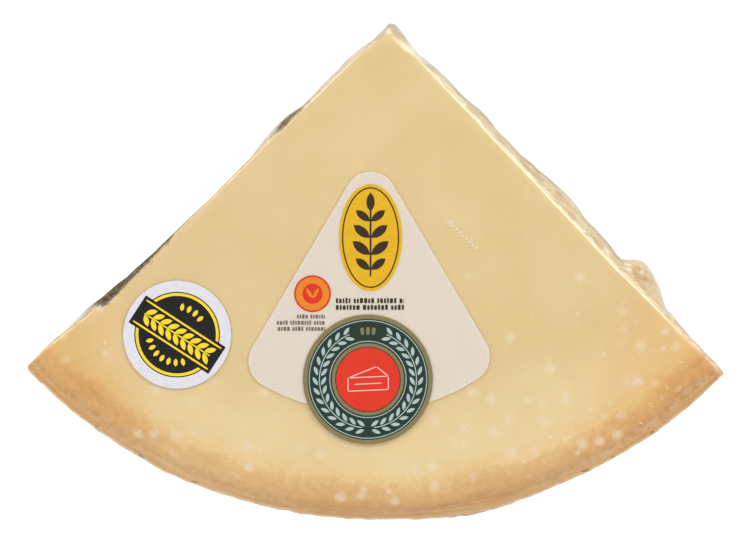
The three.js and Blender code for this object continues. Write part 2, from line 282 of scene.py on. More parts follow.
class CheesePlaces:
    """Where a point of the cheese lies, and the patterns that several layers share."""

    def __init__(self, add, sizes):
        self.here = add("TexCoord").outputs["Object"]
        parts = add("SeparateXYZ", [self.here])
        self.rightwards = parts.outputs["X"]
        height = parts.outputs["Z"]
        self.split = add("Attribute", attribute_name="split_share").outputs["Fac"]

        # Distance from the wheel's axis, and the turn round it as a length.
        axis = (WHEEL_AXIS.x, WHEEL_AXIS.y, 0)
        off_axis = add("VectorMath", [self.here, axis], operation="SUBTRACT")
        level = add("VectorMath", [off_axis, (1, 1, 0)], operation="MULTIPLY")
        self.reach = add("VectorMath", [level], operation="LENGTH")
        level_parts = add("SeparateXYZ", [level])
        turn = add("Math", level_parts.outputs[:2], operation="ARCTAN2")
        round_way = add("Math", [turn, sizes.wheel_radius], operation="MULTIPLY")
        self.round_place = add("CombineXYZ", [round_way, self.reach, height])

        # Distance to the rind: to the barrel wall or to the flat face below.
        drop = add("MapRange", [height, CUT_HEIGHT, 0.0])
        drop_squared = add("Math", [drop, 2.0], operation="POWER")
        drawn_in = [drop_squared, sizes.barrel_draw_in, self.reach]
        wall_reach = add("Math", drawn_in, operation="MULTIPLY_ADD")
        cheese_radius = sizes.wheel_radius - sizes.film_gap
        self.to_wall = add("Math", [cheese_radius, wall_reach], operation="SUBTRACT")
        to_rind = add("Math", [self.to_wall, height, 0.012], operation="SMOOTH_MIN")
        self.to_rind = to_rind

        # The layers are uneven: their depth wanders over a few millimetres and centimetres.
        self.wander = add("TexNoise", [self.here, 1 / (30 * MM), 4.0, 0.6])
        ripple = add("TexNoise", [self.here, 1 / (7 * MM), 5.0, 0.7])
        wide = sizes.tan_wander
        narrow = 0.4 * sizes.tan_wander
        wide_depth = add("MapRange", [self.wander, 0.0, 1.0, -wide, wide], clamp=False)
        narrow_depth = add("MapRange", [ripple, 0.0, 1.0, -narrow, narrow], clamp=False)
        both_depths = add("Math", [wide_depth, narrow_depth], operation="ADD")
        deeper = add("MapRange", [to_rind, 0.003, 0.012])
        self.depth = add("Math", [both_depths, deeper, to_rind], operation="MULTIPLY_ADD")
        self.depth_share = add("MapRange", [self.depth, 0.0, 0.060])

        # Place across the wedge: a length towards the right corner from the line through
        # the middle, and a share from 0 at the left corner to 1 at the right one.
        middle = math.radians((LEFT_CORNER_DEG + RIGHT_CORNER_DEG) / 2)
        across = (-math.sin(middle), math.cos(middle), 0)
        self.corner_way = add("VectorMath", [level, across], operation="DOT_PRODUCT")
        self.side_way = add("MapRange", [self.rightwards, BODY_LOW.x, BODY_HIGH.x])

        # Smears 4 mm long and 2.6 mm wide, and places moved to and fro for ragged outlines.
        smears = {"Vector": self.round_place, "Scale": (260, 380, 300)}
        self.smears = add("TexNoise", [add("Mapping", smears), 1.0, 6.0, 0.7])
        self.ragged = add("TexNoise", [self.here, 1 / (2.0 * MM), 4.0, 0.65])
        to_and_fro = [self.ragged.outputs["Color"], (0.5, 0.5, 0.5)]
        move = add("VectorMath", to_and_fro, operation="SUBTRACT")
        moved = [move, (3.5 * MM, 3.5 * MM, 3.5 * MM), self.here]
        self.ragged_place = add("VectorMath", moved, operation="MULTIPLY_ADD")


def warm_corners(add, at, colours):
    """Paste before the rind is warmer towards both corners, as it dries from two sides."""
    right_corner = add("MapRange", [at.corner_way, 0.070, 0.128], **SMOOTH)
    left_corner = add("MapRange", [at.corner_way, -0.080, -0.130], **SMOOTH)
    corner = add("Math", [right_corner, left_corner], operation="MAXIMUM")
    before_rind = add("MapRange", [at.to_wall, 0.085, 0.020], **SMOOTH)
    yield (corner, before_rind), (0.945, 0.82, 0.62), TINT


def pale_hard_rind(add, at, colours):
    """The hard rind is paler to both sides, on the left over more of its depth."""
    stops = [(0.10, 1.0), (0.42, 0.0), (0.68, 0.0), (0.90, 0.25)]
    side = add("ValToRGB", [at.side_way], stops)
    hard = add("MapRange", [at.to_wall, 0.012, 0.006], **SMOOTH)
    yield (side, hard), (1.10, 1.24, 1.40), TINT


def cloudy_patches(add, at, colours):
    """Cloudy patches of a warmer and a cooler cream, a few centimetres wide."""
    patches = add("TexNoise", [at.here, 1 / (34 * MM), 5.0, 0.62])
    stops = [(0.32, (0.97, 0.945, 0.90)), (0.68, (1.02, 1.04, 1.08))]
    yield (0.9,), add("ValToRGB", [patches], stops), TINT


def mottled_tan(add, at, colours):
    """The tan layer is mottled, with short smears along the rind."""
    share = add("MapRange", [at.depth, 0.026, 0.010], **SMOOTH)
    stops = [(0.34, (0.94, 0.90, 0.85)), (0.50, 1.0), (0.66, (1.06, 1.09, 1.14))]
    yield (share,), add("ValToRGB", [at.smears], stops), TINT


def streaked_rim(add, at, colours):
    """The outer rim has streaks 17 mm long and 1 mm wide, and is paler to both sides."""
    streaks = {"Vector": at.round_place, "Scale": (60, 900, 400)}
    pattern = add("TexNoise", [add("Mapping", streaks), 1.0, 4.0, 0.6])
    stops = [(0.30, (0.88, 0.82, 0.74)), (0.50, (1.0, 0.99, 0.97)), (0.72, (1.12, 1.14, 1.16))]
    share = add("MapRange", [at.to_wall, 0.0052, 0.0032], **SMOOTH)
    yield (share,), add("ValToRGB", [pattern], stops), TINT
    stops = [(0.12, 1.0), (0.40, 0.0), (0.66, 0.0), (0.85, 1.0)]
    side = add("ValToRGB", [at.side_way], stops)
    yield (share, side), (1.10, 1.13, 1.12), TINT


def rim_line(add, at, colours):
    """A thin, broken, wavy line lies 4 mm inside the rim, clearest right of the middle."""
    wave = add("TexNoise", [at.here, 1 / (14 * MM), 3.0])
    place = add("Math", [wave, 0.003, at.to_wall], operation="MULTIPLY_ADD")
    off_line = add("Math", [place, 0.0056], operation="SUBTRACT")
    distance = add("Math", [off_line], operation="ABSOLUTE")
    core = add("MapRange", [distance, 0.0006, 0.0001], **SMOOTH)
    breaks = add("MapRange", [at.wander, 0.40, 0.62, 0.0, 0.5])
    stops = [(0.50, 0.12), (0.62, 1.0), (0.80, 0.9), (0.86, 0.0)]
    side = add("ValToRGB", [at.side_way], stops)
    yield (core, breaks, side), colours.rim_line, COVER


def painted_rim_sheen(add, at, colours):
    """A greyish, mottled band of painted sheen, the film's reflection, lies inside the rim, strong to
    the right and faint to the left.
    """
    stops = [(0.030, 0.0), (0.055, 1.0), (0.080, 1.0), (0.115, 0.0)]
    band = add("ValToRGB", [at.depth_share], stops)
    spread = add("MapRange", [at.smears, 0.42, 0.58, 0.0, 0.72], **SMOOTH)
    stops = [(0.22, 0.6), (0.42, 0.06), (0.70, 0.05), (0.84, 1.0)]
    side = add("ValToRGB", [at.side_way], stops)
    yield (band, spread, side), colours.painted_rim_sheen, COVER


def rim_nicks(add, at, colours):
    """Dark nicks sit in the outermost millimetre and a half."""
    pattern = add("TexNoise", [at.here, 1 / (5 * MM), 2.0, 0.5])
    amount = add("MapRange", [pattern, 0.64, 0.69, 0.0, 0.85], **SMOOTH)
    edge = add("MapRange", [at.to_wall, 0.0018, 0.0010])
    yield (amount, edge), colours.rim_nick, COVER


def crystals(add, at, colours):
    """Crystals sit in ragged cells: soft blotches, and specks between them. The last row is painted
    highlight: bright glints of the film.

    They are plentiful by the rind and to the right, and rare by the tip.
    """
    rightwards = add("MapRange", [at.rightwards, -0.03, 0.07, 0.05, 0.36])
    outwards = add("MapRange", [at.reach, 0.110, 0.170, 0.10, 0.60])
    inside = add("Math", [rightwards, outwards], operation="ADD")
    off_rim = add("MapRange", [at.to_wall, 0.005, 0.009, 0.35])
    off_corner = add("MapRange", [at.corner_way, 0.138, 0.130, 0.1])
    off_edges = add("Math", [off_rim, off_corner], operation="MULTIPLY")
    plenty = add("Math", [inside, off_edges], operation="MULTIPLY")
    # Cell size in mm, greatest share of cells, radius and softness in cells, strength and colour.
    for cell_size, most, radius, softness, strength, colour in (
        (7.8, 1.10, 0.42, 0.36, 0.66, colours.crystal),
        (5.3, 0.62, 0.38, 0.28, 0.66, colours.crystal),
        (3.1, 0.36, 0.28, 0.12, 0.72, colours.crystal),
        (2.3, 0.40, 0.24, 0.14, 0.45, colours.crystal),
        (1.6, 0.42, 0.30, 0.16, 0.40, colours.crystal),
        # Painted highlight: small bright glints of the film.
        (3.9, 0.50, 0.17, 0.05, 0.95, colours.painted_glint),
    ):
        pattern = {"Vector": at.ragged_place, "Scale": 1 / (cell_size * MM), "Randomness": 1.0}
        cells = add("TexVoronoi", pattern)
        lot = add("SeparateColor", [cells.outputs["Color"]])
        wanted = add("Math", [plenty, most], operation="MULTIPLY")
        chosen = add("Math", [wanted, lot], operation="SUBTRACT")
        reach = add("MapRange", [chosen, 0.0, 0.5, -0.1, radius])
        inside = add("Math", [reach, cells], operation="SUBTRACT")
        spot = add("MapRange", [inside, -0.04, softness, 0.0, strength], **SMOOTH)
        yield (spot,), colour, COVER


def split_paste(add, at, colours):
    """Split sides: painted shade overall and in the crevices, ochre patches, and pale crests that are
    partly painted highlight.
    """
    ochre = add("TexNoise", [at.here, 1 / (8 * MM), 5.0, 0.65])
    amount = add("MapRange", [ochre, 0.44, 0.62, 0.0, 0.85], **SMOOTH)
    yield (amount, at.split), colours.ochre_patch, COVER
    # Painted shade: the split sides are darkened, as if shaded by their rough grains.
    yield (at.split,), 0.90, TINT
    crag = add("Attribute", attribute_name="crag_depth").outputs["Fac"]
    # Painted shade in the deeper crags.
    yield (add("MapRange", [crag, 0.45, 1.1, 0.0, 0.7]),), colours.crevice_shade, COVER
    # Pale crests, partly painted highlight on the grains.
    crests = add("TexNoise", [at.here, 1 / (3.2 * MM), 4.0, 0.65])
    amount = add("MapRange", [crests, 0.54, 0.66, 0.0, 0.85], **SMOOTH)
    calm = add("MapRange", [at.to_rind, 0.006, 0.030, 0.12])
    yield (amount, at.split, calm), colours.crest_and_highlight, COVER


def painted_tip_highlights(add, at, colours):
    """Two painted highlights at the tip, a round one and a long one, where the worn tip catches the
    light.
    """
    for offset, turn, half_length, half_width in TIP_HIGHLIGHT_SPOTS:
        middle = TIP + Vector(offset) * MM
        ends = {
            "Vector": at.ragged_place,
            "Location": (middle.x, middle.y, 0),
            "Rotation": (0, 0, math.radians(turn)),
            "Scale": (half_length * MM, half_width * MM, 100.0),
        }
        oval = add("Mapping", ends, vector_type="TEXTURE")
        spread = add("VectorMath", [oval], operation="LENGTH")
        share = add("MapRange", [spread, 1.25, 0.55, 0.0, 0.95], **SMOOTH)
        yield (share,), colours.crest_and_highlight, COVER


def painted_hollow_shade(add, at, colours):
    """Painted shade, dark and speckled, fills the hollows under the left edge and a patch under the rim.
    """
    pocket = add("Attribute", attribute_name="shaded_pocket").outputs["Fac"]
    speckle = add("TexNoise", [at.here, 1 / (2.2 * MM), 5.0, 0.7])
    stops = [(0.40, colours.shaded_pocket), (0.60, colours.pocket_fleck)]
    speckled = add("ValToRGB", [speckle], stops)
    edge = add("Math", [pocket, 0.8, at.ragged], operation="MULTIPLY_ADD")
    yield (add("MapRange", [edge, 0.80, 1.10], **SMOOTH),), speckled, COVER


CHEESE_LAYERS = (
    warm_corners, pale_hard_rind, cloudy_patches, mottled_tan, streaked_rim, rim_line,
    painted_rim_sheen, rim_nicks, crystals, split_paste, painted_tip_highlights, painted_hollow_shade,
)


def cheese_material(sizes, colours):
    """Aged hard cheese, cut level with a wire and split along its grain.

    The paste is pale, a little see-through and moist under the film. It turns
    tan over its last centimetres before the rind, which is dry and hard. Aged
    paste holds pale crystals a few millimetres across.
    """
    material, add = new_material("aged hard cheese, cut and split")
    at = CheesePlaces(add, sizes)
    depths = [
        (0.0, colours.rind_rim), (0.03, colours.rind_inside), (0.08, colours.rind_inside),
        (0.135, colours.tan_layer), (0.216, colours.tan_edge), (0.280, colours.warm_paste),
        (0.38, colours.paste_near_rind), (0.55, colours.paste_near_rind), (0.90, colours.paste),
    ]
    below = add("ValToRGB", [at.depth_share], depths)
    for layer in CHEESE_LAYERS:
        for shares, over, way in layer(add, at, colours):
            share = shares[0]
            for further_share in shares[1:]:
                share = add("Math", [share, further_share], operation="MULTIPLY")
            below = add("Mix", [share, below, over], **way)

    # Grit of the paste, about a millimetre, strong on the split sides only.
    grit = add("TexNoise", [at.here, 1 / (1.6 * MM), 5.0, 0.65])
    roughness = add("MapRange", [at.split, 0.0, 1.0, 0.04, 0.7])
    relief = {"Strength": roughness, "Distance": 0.001, "Height": grit}
    surface = {
        "Base Color": below,
        "Roughness": 0.5,
        "IOR": 1.42,
        "Subsurface Weight": 0.08,
        "Subsurface Scale": 0.003,
        "Subsurface Radius": (1.0, 0.85, 0.6),
        "Normal": add("Bump", relief),
    }
    add("OutputMaterial", [add("BsdfPrincipled", surface)])
    return material


# The other materials


# How far from the wheel's axis the creases start and are at their fullest, and how high
# one stands then, as a share of the relief.
CREASE_BELT = (0.130, 0.160)
CREASE_HEIGHT = 0.35


def film_creases(add, here):
    """Creases a few centimetres long, here and there before the rind.

    Each is a thin line where a stretched noise passes its middle level.
    """
    stretch = {"Vector": here, "Rotation": (0, 0, 0.45), "Scale": (26, 80, 60)}
    pattern = add("TexNoise", [add("Mapping", stretch), 1.0, 2.0, 0.5])
    off_level = add("Math", [pattern, 0.5], operation="SUBTRACT")
    distance = add("Math", [off_level], operation="ABSOLUTE")
    line = add("MapRange", [distance, 0.016, 0.003], **SMOOTH)
    area = add("TexNoise", [here, 1 / (22 * MM), 2.0])
    there = add("MapRange", [area, 0.54, 0.66], **SMOOTH)
    axis = (WHEEL_AXIS.x, WHEEL_AXIS.y, CUT_HEIGHT)
    reach = add("VectorMath", [here, axis], operation="DISTANCE")
    belt = add("MapRange", [reach, *CREASE_BELT, 0.0, CREASE_HEIGHT], **SMOOTH)
    some = add("Math", [line, there], operation="MULTIPLY")
    return add("Math", [some, belt], operation="MULTIPLY")


def film_material(colours):
    """Clear shrunk vacuum film, polyamide and polyethylene, cast and smooth.

    It is seen by its gloss: faint where it is looked at squarely, with sharp
    glints on every fold. On the walls it looks beige at a slant, as the eye
    meets more of it. Short creases catch the light near the rind.
    """
    material, add = new_material("clear vacuum film, cast and shrunk")
    here = add("TexCoord").outputs["Object"]
    facing = add("LayerWeight", [0.5]).outputs["Facing"]
    split, wall, pocket = [
        add("Attribute", attribute_name=name).outputs["Fac"]
        for name in ("split_share", "side_share", "shaded_pocket")
    ]
    steepness = add("Math", [facing, 2.6], operation="POWER")
    film_share = add("Math", [steepness, 0.95, 0.045], operation="MULTIPLY_ADD")

    # On the split sides the film is puckered over the grains.
    pucker = add("TexNoise", [here, 1 / (3 * MM), 4.0, 0.6])
    pucker_height = add("Math", [split, 1.8], operation="MULTIPLY")
    heights = [pucker, pucker_height, film_creases(add, here)]
    relief = add("Math", heights, operation="MULTIPLY_ADD")

    clear_tint = (0.96, 0.94, 0.90)
    clear_view = (0.985, 0.98, 0.97)
    beige = [(0.62, (0.62, 0.575, 0.48)), (0.82, (0.56, 0.515, 0.415)), (1.0, (0.48, 0.44, 0.35))]
    wall_tint = add("ValToRGB", [facing], [(0.25, 0.95), *beige])
    wall_view = add("ValToRGB", [facing], [(0.3, clear_view), (0.9, (0.78, 0.75, 0.66))])
    tint = add("Mix", [wall, clear_tint, wall_tint], **COVER)
    view = add("Mix", [wall, clear_view, wall_view], **COVER)

    # Painted shade, dark and speckled, lies on the film over the hollows of the left side and over a
    # patch under the rim, and dulls the film's gloss there.
    speckle = add("TexNoise", [here, 1 / (1.6 * MM), 4.0, 0.75])
    stops = [(0.43, colours.painted_shade_dark), (0.51, colours.painted_shade), (0.62, colours.painted_shade_pale)]
    speckled = add("ValToRGB", [speckle], stops)
    edge = add("Math", [pocket, 0.8, speckle], operation="MULTIPLY_ADD")
    shade_amount = add("MapRange", [edge, 0.85, 1.10, 0.0, 0.92], **SMOOTH)
    mirror_share = add("MapRange", [pocket, 0.0, 0.4, 1.0, 0.0])
    film_and_shade_share = add("Math", [film_share, shade_amount], operation="MAXIMUM")
    surface = {
        "Base Color": add("Mix", [shade_amount, tint, speckled], **COVER),
        "Metallic": mirror_share,
        "Specular IOR Level": add("Math", [mirror_share, 0.5], operation="MULTIPLY"),
        "Roughness": add("MapRange", [pocket, 0.0, 0.4, 0.09, 0.6]),
        "Normal": add("Bump", {"Strength": 1.0, "Distance": 0.002, "Height": relief}),
    }
    clear = add("BsdfTransparent", [view])
    gloss = add("BsdfPrincipled", surface)
    add("OutputMaterial", [add("MixShader", [film_and_shade_share, clear, gloss])])
    return material


def ink_material(name, srgb_hex, metallic=0.0):
    """Offset ink on coated label stock: even and satin, with a faint mottle."""
    material, add = new_material(name)
    here = add("TexCoord").outputs["Object"]
    mottle = add("TexNoise", [here, 1 / (2.5 * MM), 4.0, 0.65])
    darker = [0.90 * channel for channel in linear_colour(srgb_hex)]
    surface = {
        "Base Color": add("ValToRGB", [mottle], [(0.3, darker), (0.7, srgb_hex)]),
        "Metallic": metallic,
        "Roughness": 0.42,
        "IOR": 1.5,
        "Specular IOR Level": 0.3,
    }
    add("OutputMaterial", [add("BsdfPrincipled", surface)])
    return material


def thin_ink_material(name, srgb_hex, share):
    """Thin ink on clear film, which lets some of what lies below through."""
    material, add = new_material(name)
    clear = add("BsdfTransparent")
    milk = add("BsdfPrincipled", {"Base Color": srgb_hex, "Roughness": 0.4, "IOR": 1.5})
    add("OutputMaterial", [add("MixShader", [share, clear, milk])])
    return material


def floor_material():
    """White opal acrylic of a light table, lit from below: matt, with hardly a shadow."""
    material, add = new_material("white opal acrylic, lit from below")
    surface = {
        "Base Color": 0.9,
        "Roughness": 0.9,
        "Specular IOR Level": 0.1,
        "Emission Color": 1.0,
        "Emission Strength": 0.5,
    }
    add("OutputMaterial", [add("BsdfPrincipled", surface)])
    return material


# Modelling


def select_only(piece):
    """Deselects everything else and makes the piece the active one."""
    bpy.ops.object.select_all(action="DESELECT")
    piece.select_set(True)
    bpy.context.view_layer.objects.active = piece


def edit_all(piece):
    """Starts to edit all of the piece's mesh."""
    select_only(piece)
    bpy.ops.object.mode_set(mode="EDIT")
    bpy.ops.mesh.select_all(action="SELECT")


def copy_of_solid(node, name):
    """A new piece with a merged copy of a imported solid's mesh."""
    piece = bpy.data.objects.new(name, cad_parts[node].data.copy())
    piece.data.name = name
    bpy.context.scene.collection.objects.link(piece)
    piece.data.materials.clear()
    edit_all(piece)
    bpy.ops.mesh.remove_doubles(threshold=0.00001)
    bpy.ops.object.mode_set(mode="OBJECT")
    return piece


def apply_modifier(piece, kind, **settings):
    """Adds one modifier with its settings and applies it."""
    modifier = piece.modifiers.new(kind.lower(), kind)
    for name, value in settings.items():
        setattr(modifier, name, value)
    select_only(piece)
    bpy.ops.object.modifier_apply(modifier=modifier.name)


def displace(piece, strength, mid_level=0.0, texture=None):
    """Moves the surface outwards: evenly, or by a texture as far as the weights say."""
    group = "weights" if texture else ""
    settings = {"direction": "NORMAL", "texture": texture, "texture_coords": "LOCAL"}
    apply_modifier(
        piece, "DISPLACE", strength=strength, mid_level=mid_level, vertex_group=group, **settings
    )


def weigh(piece, weight_at):
    """Sets the vertex group named weights by a rule of place and direction."""
    group = piece.vertex_groups.new(name="weights")
    for vertex in piece.data.vertices:
        weight = weight_at(vertex.co, vertex.normal)
        if weight > 0:
            group.add([vertex.index], weight, "REPLACE")


def store_values(piece, name, values):
    """A number for each vertex, which the material reads by name."""
    attribute = piece.data.attributes.new(name, "FLOAT", "POINT")
    attribute.data.foreach_set("value", values)


def move_all(piece, way_at):
    """Moves every vertex by a rule of place and direction, both read before any move."""
    ways = [way_at(vertex.co, vertex.normal) for vertex in piece.data.vertices]
    for vertex, way in zip(piece.data.vertices, ways):
        vertex.co += way


def ease(start, end, value):
    """0 before start, 1 after end, and gentle between."""
    share = min(1.0, max(0.0, (value - start) / (end - start)))
    return share * share * (3 - 2 * share)


def within(start, full, fade, end, value):
    """1 from full to fade, 0 before start and after end, and gentle between."""
    return ease(start, full, value) * (1 - ease(fade, end, value))


def smooth_least(first, second):
    """The lesser of two lengths, with a soft change of a few mm from one to the other."""
    soft = 1.3 * MM
    return -soft * math.log(math.exp(-first / soft) + math.exp(-second / soft))


def side_place(sizes, co, corner_deg):
    """Distance from the tip along the line to a corner, and distance out from it."""
    line = (corner_place(sizes.wheel_radius, corner_deg) - TIP).normalized()
    offset = co.xy - TIP
    along = offset.dot(line)
    return along, (offset - line * along).length


def split_share(sizes, co, normal):
    """1 on a split side, 0 on the level cut, the rind and the flat face.

    A lump's slope that faces up counts too, when it lies well below the cut.
    """
    below = CUT_HEIGHT - co.z
    upright = 1 - ease(0.55, 0.9, abs(normal.z))
    slope = ease(0.0025, 0.006, below) if normal.z > 0 else 0.0
    outward = co.xy - WHEEL_AXIS
    rind = ease(sizes.wheel_radius - 0.016, sizes.wheel_radius - 0.005, outward.length)
    facing_rind = max(0.0, normal.xy.dot(outward.normalized()))
    off_rind = 1 - rind * ease(0.3, 0.8, facing_rind)
    return max(upright, slope) * ease(0.0006, 0.004, below) * off_rind


# How far out from the line of a split side its strip reaches, lumps and all.
SIDE_STRIP = 0.012

# Painted shade in the hollows under the left edge: how dark, where along the side each
# starts, is full, fades and ends, and how far down it reaches.
HOLLOW_SHADES = (
    (1.0, (0.122, 0.134, 0.170, 0.181), 0.015),
    (0.8, (0.049, 0.055, 0.066, 0.074), 0.009),
)

# Painted shade under the rim: how dark, how far right and down its middle is, and half its size.
RIM_SHADE_DARKNESS = 0.8
RIM_SHADE_RIGHT, RIM_SHADE_BELOW = 0.038, 0.0026
RIM_SHADE_HALF_LENGTH, RIM_SHADE_HALF_HEIGHT = 0.009, 0.0014

# How far down from the wheel's axis the part of the rim with the painted shade starts.
RIM_REACH = 0.18

# Painted shade on the top of the left edge and in flecks beside it: where along the side
# each starts, is full, fades and ends.
SHADED_TOP_SPAN = (0.124, 0.132, 0.168, 0.176)
SHADE_FLECK_SPAN = (0.106, 0.114, 0.172, 0.182)
SHADE_FLECK_DARKNESS = 0.32

# Where along the right side the film bridges a hollow: start, full, fade and end.
BRIDGED_SPAN = (0.008, 0.016, 0.030, 0.048)


def pocket_share(sizes, co, normal):
    """How much painted shade a point gets, in the hollows of the left side and under the rim.

    The outlines of the shade are ragged. A few flecks of painted shade lie on the cut's edge beside the
    hollows.
    """
    along, across = side_place(sizes, co, LEFT_CORNER_DEG)
    below = CUT_HEIGHT - co.z
    coarse = noise.noise(co * 95)
    fine = noise.noise(co * 330)
    if co.y < WHEEL_AXIS.y - RIM_REACH:
        off = math.hypot((co.x - RIM_SHADE_RIGHT) / RIM_SHADE_HALF_LENGTH, (below - RIM_SHADE_BELOW) / RIM_SHADE_HALF_HEIGHT)
        return RIM_SHADE_DARKNESS * (1 - ease(0.6, 1.1, off + 0.4 * fine)) * (1 - ease(0.30, 0.60, normal.z))
    if across > SIDE_STRIP:
        return 0.0
    rough_along = along + 0.005 * coarse
    rough_below = below * (1 + 0.8 * coarse + 0.5 * fine)
    dark = max(
        darkness * within(*ends, rough_along) * (1 - ease(0.35, 1.2, rough_below / depth))
        for darkness, ends, depth in HOLLOW_SHADES
    )
    dark *= ease(0.0003, 0.0012, below) * (1 - 0.7 * ease(0.80, 0.97, normal.z))
    top_width = 0.0022 + 0.0016 * ease(0.128, 0.168, along) + 0.0006 * fine
    on_top = within(*SHADED_TOP_SPAN, along)
    on_top *= (1 - ease(top_width, top_width + 0.0008, across)) * (1 - ease(0.004, 0.008, below))
    flecks = SHADE_FLECK_DARKNESS * within(*SHADE_FLECK_SPAN, along)
    flecks *= (1 - ease(0.0045, 0.0065, across)) * (1 - ease(0.010, 0.016, below))
    return max(dark, on_top, flecks)


def side_share(sizes, co, normal):
    """1 on a wall, 0 on the level cut."""
    return 1 - ease(0.80, 0.97, normal.z)


def cheese_draw_in(sizes, co, normal):
    """How far the cheese lies inside its film, in mm, beyond the even gap.

    The film bridges the hollow of the right side below the tip.
    """
    along, across = side_place(sizes, co, RIGHT_CORNER_DEG)
    if across > SIDE_STRIP:
        return 0.0
    return (1 - ease(0.5, 0.9, abs(normal.z))) * within(*BRIDGED_SPAN, along)


def blunt_tip(piece):
    """Draws the cheese at the tip in, towards a point inside, so that the film bridges it."""
    inner = TIP + Vector((-0.0003, -0.020))
    for vertex in piece.data.vertices:
        level = vertex.co.xy
        share = 0.055 * (1 - ease(0.004, 0.018, (level - TIP).length))
        vertex.co.x += (inner.x - level.x) * share
        vertex.co.y += (inner.y - level.y) * share


def wear_tip(piece, sizes):
    """Rounds the upper edges over near the tip, on cheese and film alike."""
    sides = [
        (corner_place(sizes.wheel_radius, turn) - TIP).normalized()
        for turn in (LEFT_CORNER_DEG, RIGHT_CORNER_DEG)
    ]
    for vertex in piece.data.vertices:
        offset = vertex.co.xy - TIP
        rounding = sizes.tip_wear * (1 - ease(0.003, 0.026, offset.length))
        inside = smooth_least(*[abs(offset.cross(side)) for side in sides]) if offset.y < 0 else 0.0
        short = min(rounding, max(0.0, rounding - inside))
        layer = 1 - ease(0.001, 0.012, CUT_HEIGHT - vertex.co.z)
        if short > 0 and layer > 0:
            vertex.co.z -= layer * (rounding - math.sqrt(max(0.0, rounding**2 - short**2)))


def roughen_rind(piece, sizes):
    """Makes the rind's wall and rim a little uneven, on cheese and film alike."""
    texture = bpy.data.textures.new("rind", "CLOUDS")
    texture.noise_scale = 4.5 * MM
    texture.noise_depth = 2
    near = sizes.wheel_radius - sizes.barrel_draw_in - 0.004

    def rind_share(co, normal):
        on_rind = ease(near, near + 0.003, (co.xy - WHEEL_AXIS).length)
        return on_rind * (1 - ease(0.6, 0.95, abs(normal.z)))

    weigh(piece, rind_share)
    displace(piece, 1.1 * MM, 0.5, texture)
    piece.vertex_groups.clear()


# Grains of the split sides: texture, width in large grains and share of the depth.
CRAGS = (
    ("VORONOI", 1.0, 0.42),
    ("CLOUDS", 1.7, 0.30),
    ("VORONOI", 0.4, 0.34),
    ("CLOUDS", 0.22, 0.16),
)


def split_crags(piece, sizes):
    """Breaks up the split sides with grains of several sizes, inwards from the film.

    The hard paste next to the rind splits smoother.
    """

    def crag_share(co, normal):
        reach = (co.xy - WHEEL_AXIS).length
        hard = ease(sizes.wheel_radius - 0.030, sizes.wheel_radius - 0.008, reach)
        return split_share(sizes, co, normal) * (1 - 0.85 * hard)

    weigh(piece, crag_share)
    for kind, size, share in CRAGS:
        texture = bpy.data.textures.new("grains", kind)
        texture.noise_scale = sizes.crag_size * size
        displace(piece, -sizes.crag_depth * share, 0.15, texture)
    piece.vertex_groups.clear()


def fine_wedge(sizes, name):
    """A finely and evenly meshed copy of the wedge."""
    piece = copy_of_solid("cheese_in_film", name)
    apply_modifier(piece, "REMESH", mode="VOXEL", voxel_size=sizes.mesh_pitch)
    return piece


def finish_surface(piece, sizes, shares, material):
    """Stores what the material reads at each vertex, and shades the piece smooth."""
    for name, share_at in shares.items():
        values = [share_at(sizes, vertex.co, vertex.normal) for vertex in piece.data.vertices]
        store_values(piece, name, values)
    select_only(piece)
    bpy.ops.object.shade_smooth()
    piece.data.materials.append(material)


class CHEESE_OT_wedge(bpy.types.Operator):
    """Makes the cheese itself, with crags on its split sides"""

    bl_idname = "cheese.wedge"
    bl_label = "Cheese"

    def execute(self, context):
        sizes = context.scene.wedge_sizes
        piece = fine_wedge(sizes, "cheese")
        roughen_rind(piece, sizes)
        before = [(vertex.co.copy(), vertex.normal.copy()) for vertex in piece.data.vertices]
        split_crags(piece, sizes)
        depths = [
            (place - vertex.co).dot(outward) / sizes.crag_depth
            for vertex, (place, outward) in zip(piece.data.vertices, before)
        ]
        store_values(piece, "crag_depth", depths)
        displace(piece, -sizes.film_gap)
        move_all(piece, lambda co, normal: -normal * cheese_draw_in(sizes, co, normal) * MM)
        blunt_tip(piece)
        wear_tip(piece, sizes)
        for vertex in piece.data.vertices:
            vertex.co.z = max(vertex.co.z, sizes.film_gap)
        shares = {"split_share": split_share, "shaded_pocket": pocket_share}
        finish_surface(piece, sizes, shares, cheese_material(sizes, context.scene.cheese_colours))
        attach(piece, "root")
        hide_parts("cheese_in_film")
        return {"FINISHED"}


def film_lift(co, normal):
    """How the film stands off at a point: soft folds low on the sides."""
    if normal.z <= -0.5:
        return Vector()
    below = (CUT_HEIGHT - co.z) / MM
    folds = noise.noise(Vector((co.x * 70, co.y * 70, co.z * 160)))
    calm_foot = ease(1.5, 9, co.z / MM)
    return normal * (0.5 * max(0.0, folds) * ease(14, 40, below) * calm_foot) * MM


class CHEESE_OT_film(bpy.types.Operator):
    """Makes the clear film that is shrunk onto the cheese"""

    bl_idname = "cheese.film"
    bl_label = "Film"

    def execute(self, context):
        sizes = context.scene.wedge_sizes
        piece = fine_wedge(sizes, "vacuum_film")
        displace(piece, -sizes.film_sink)
        roughen_rind(piece, sizes)
        wear_tip(piece, sizes)
        move_all(piece, film_lift)
        shares = {
            "split_share": split_share,
            "shaded_pocket": pocket_share,
            "side_share": side_share,
        }
        finish_surface(piece, sizes, shares, film_material(context.scene.cheese_colours))
        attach(piece, "root")
        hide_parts("cheese_in_film")
        return {"FINISHED"}


# Labels and their print

# How far print stands above what it is printed on, and the seed of its uneven rows.
PRINT_LIFT = 0.04 * MM
ROW_SEED = 4

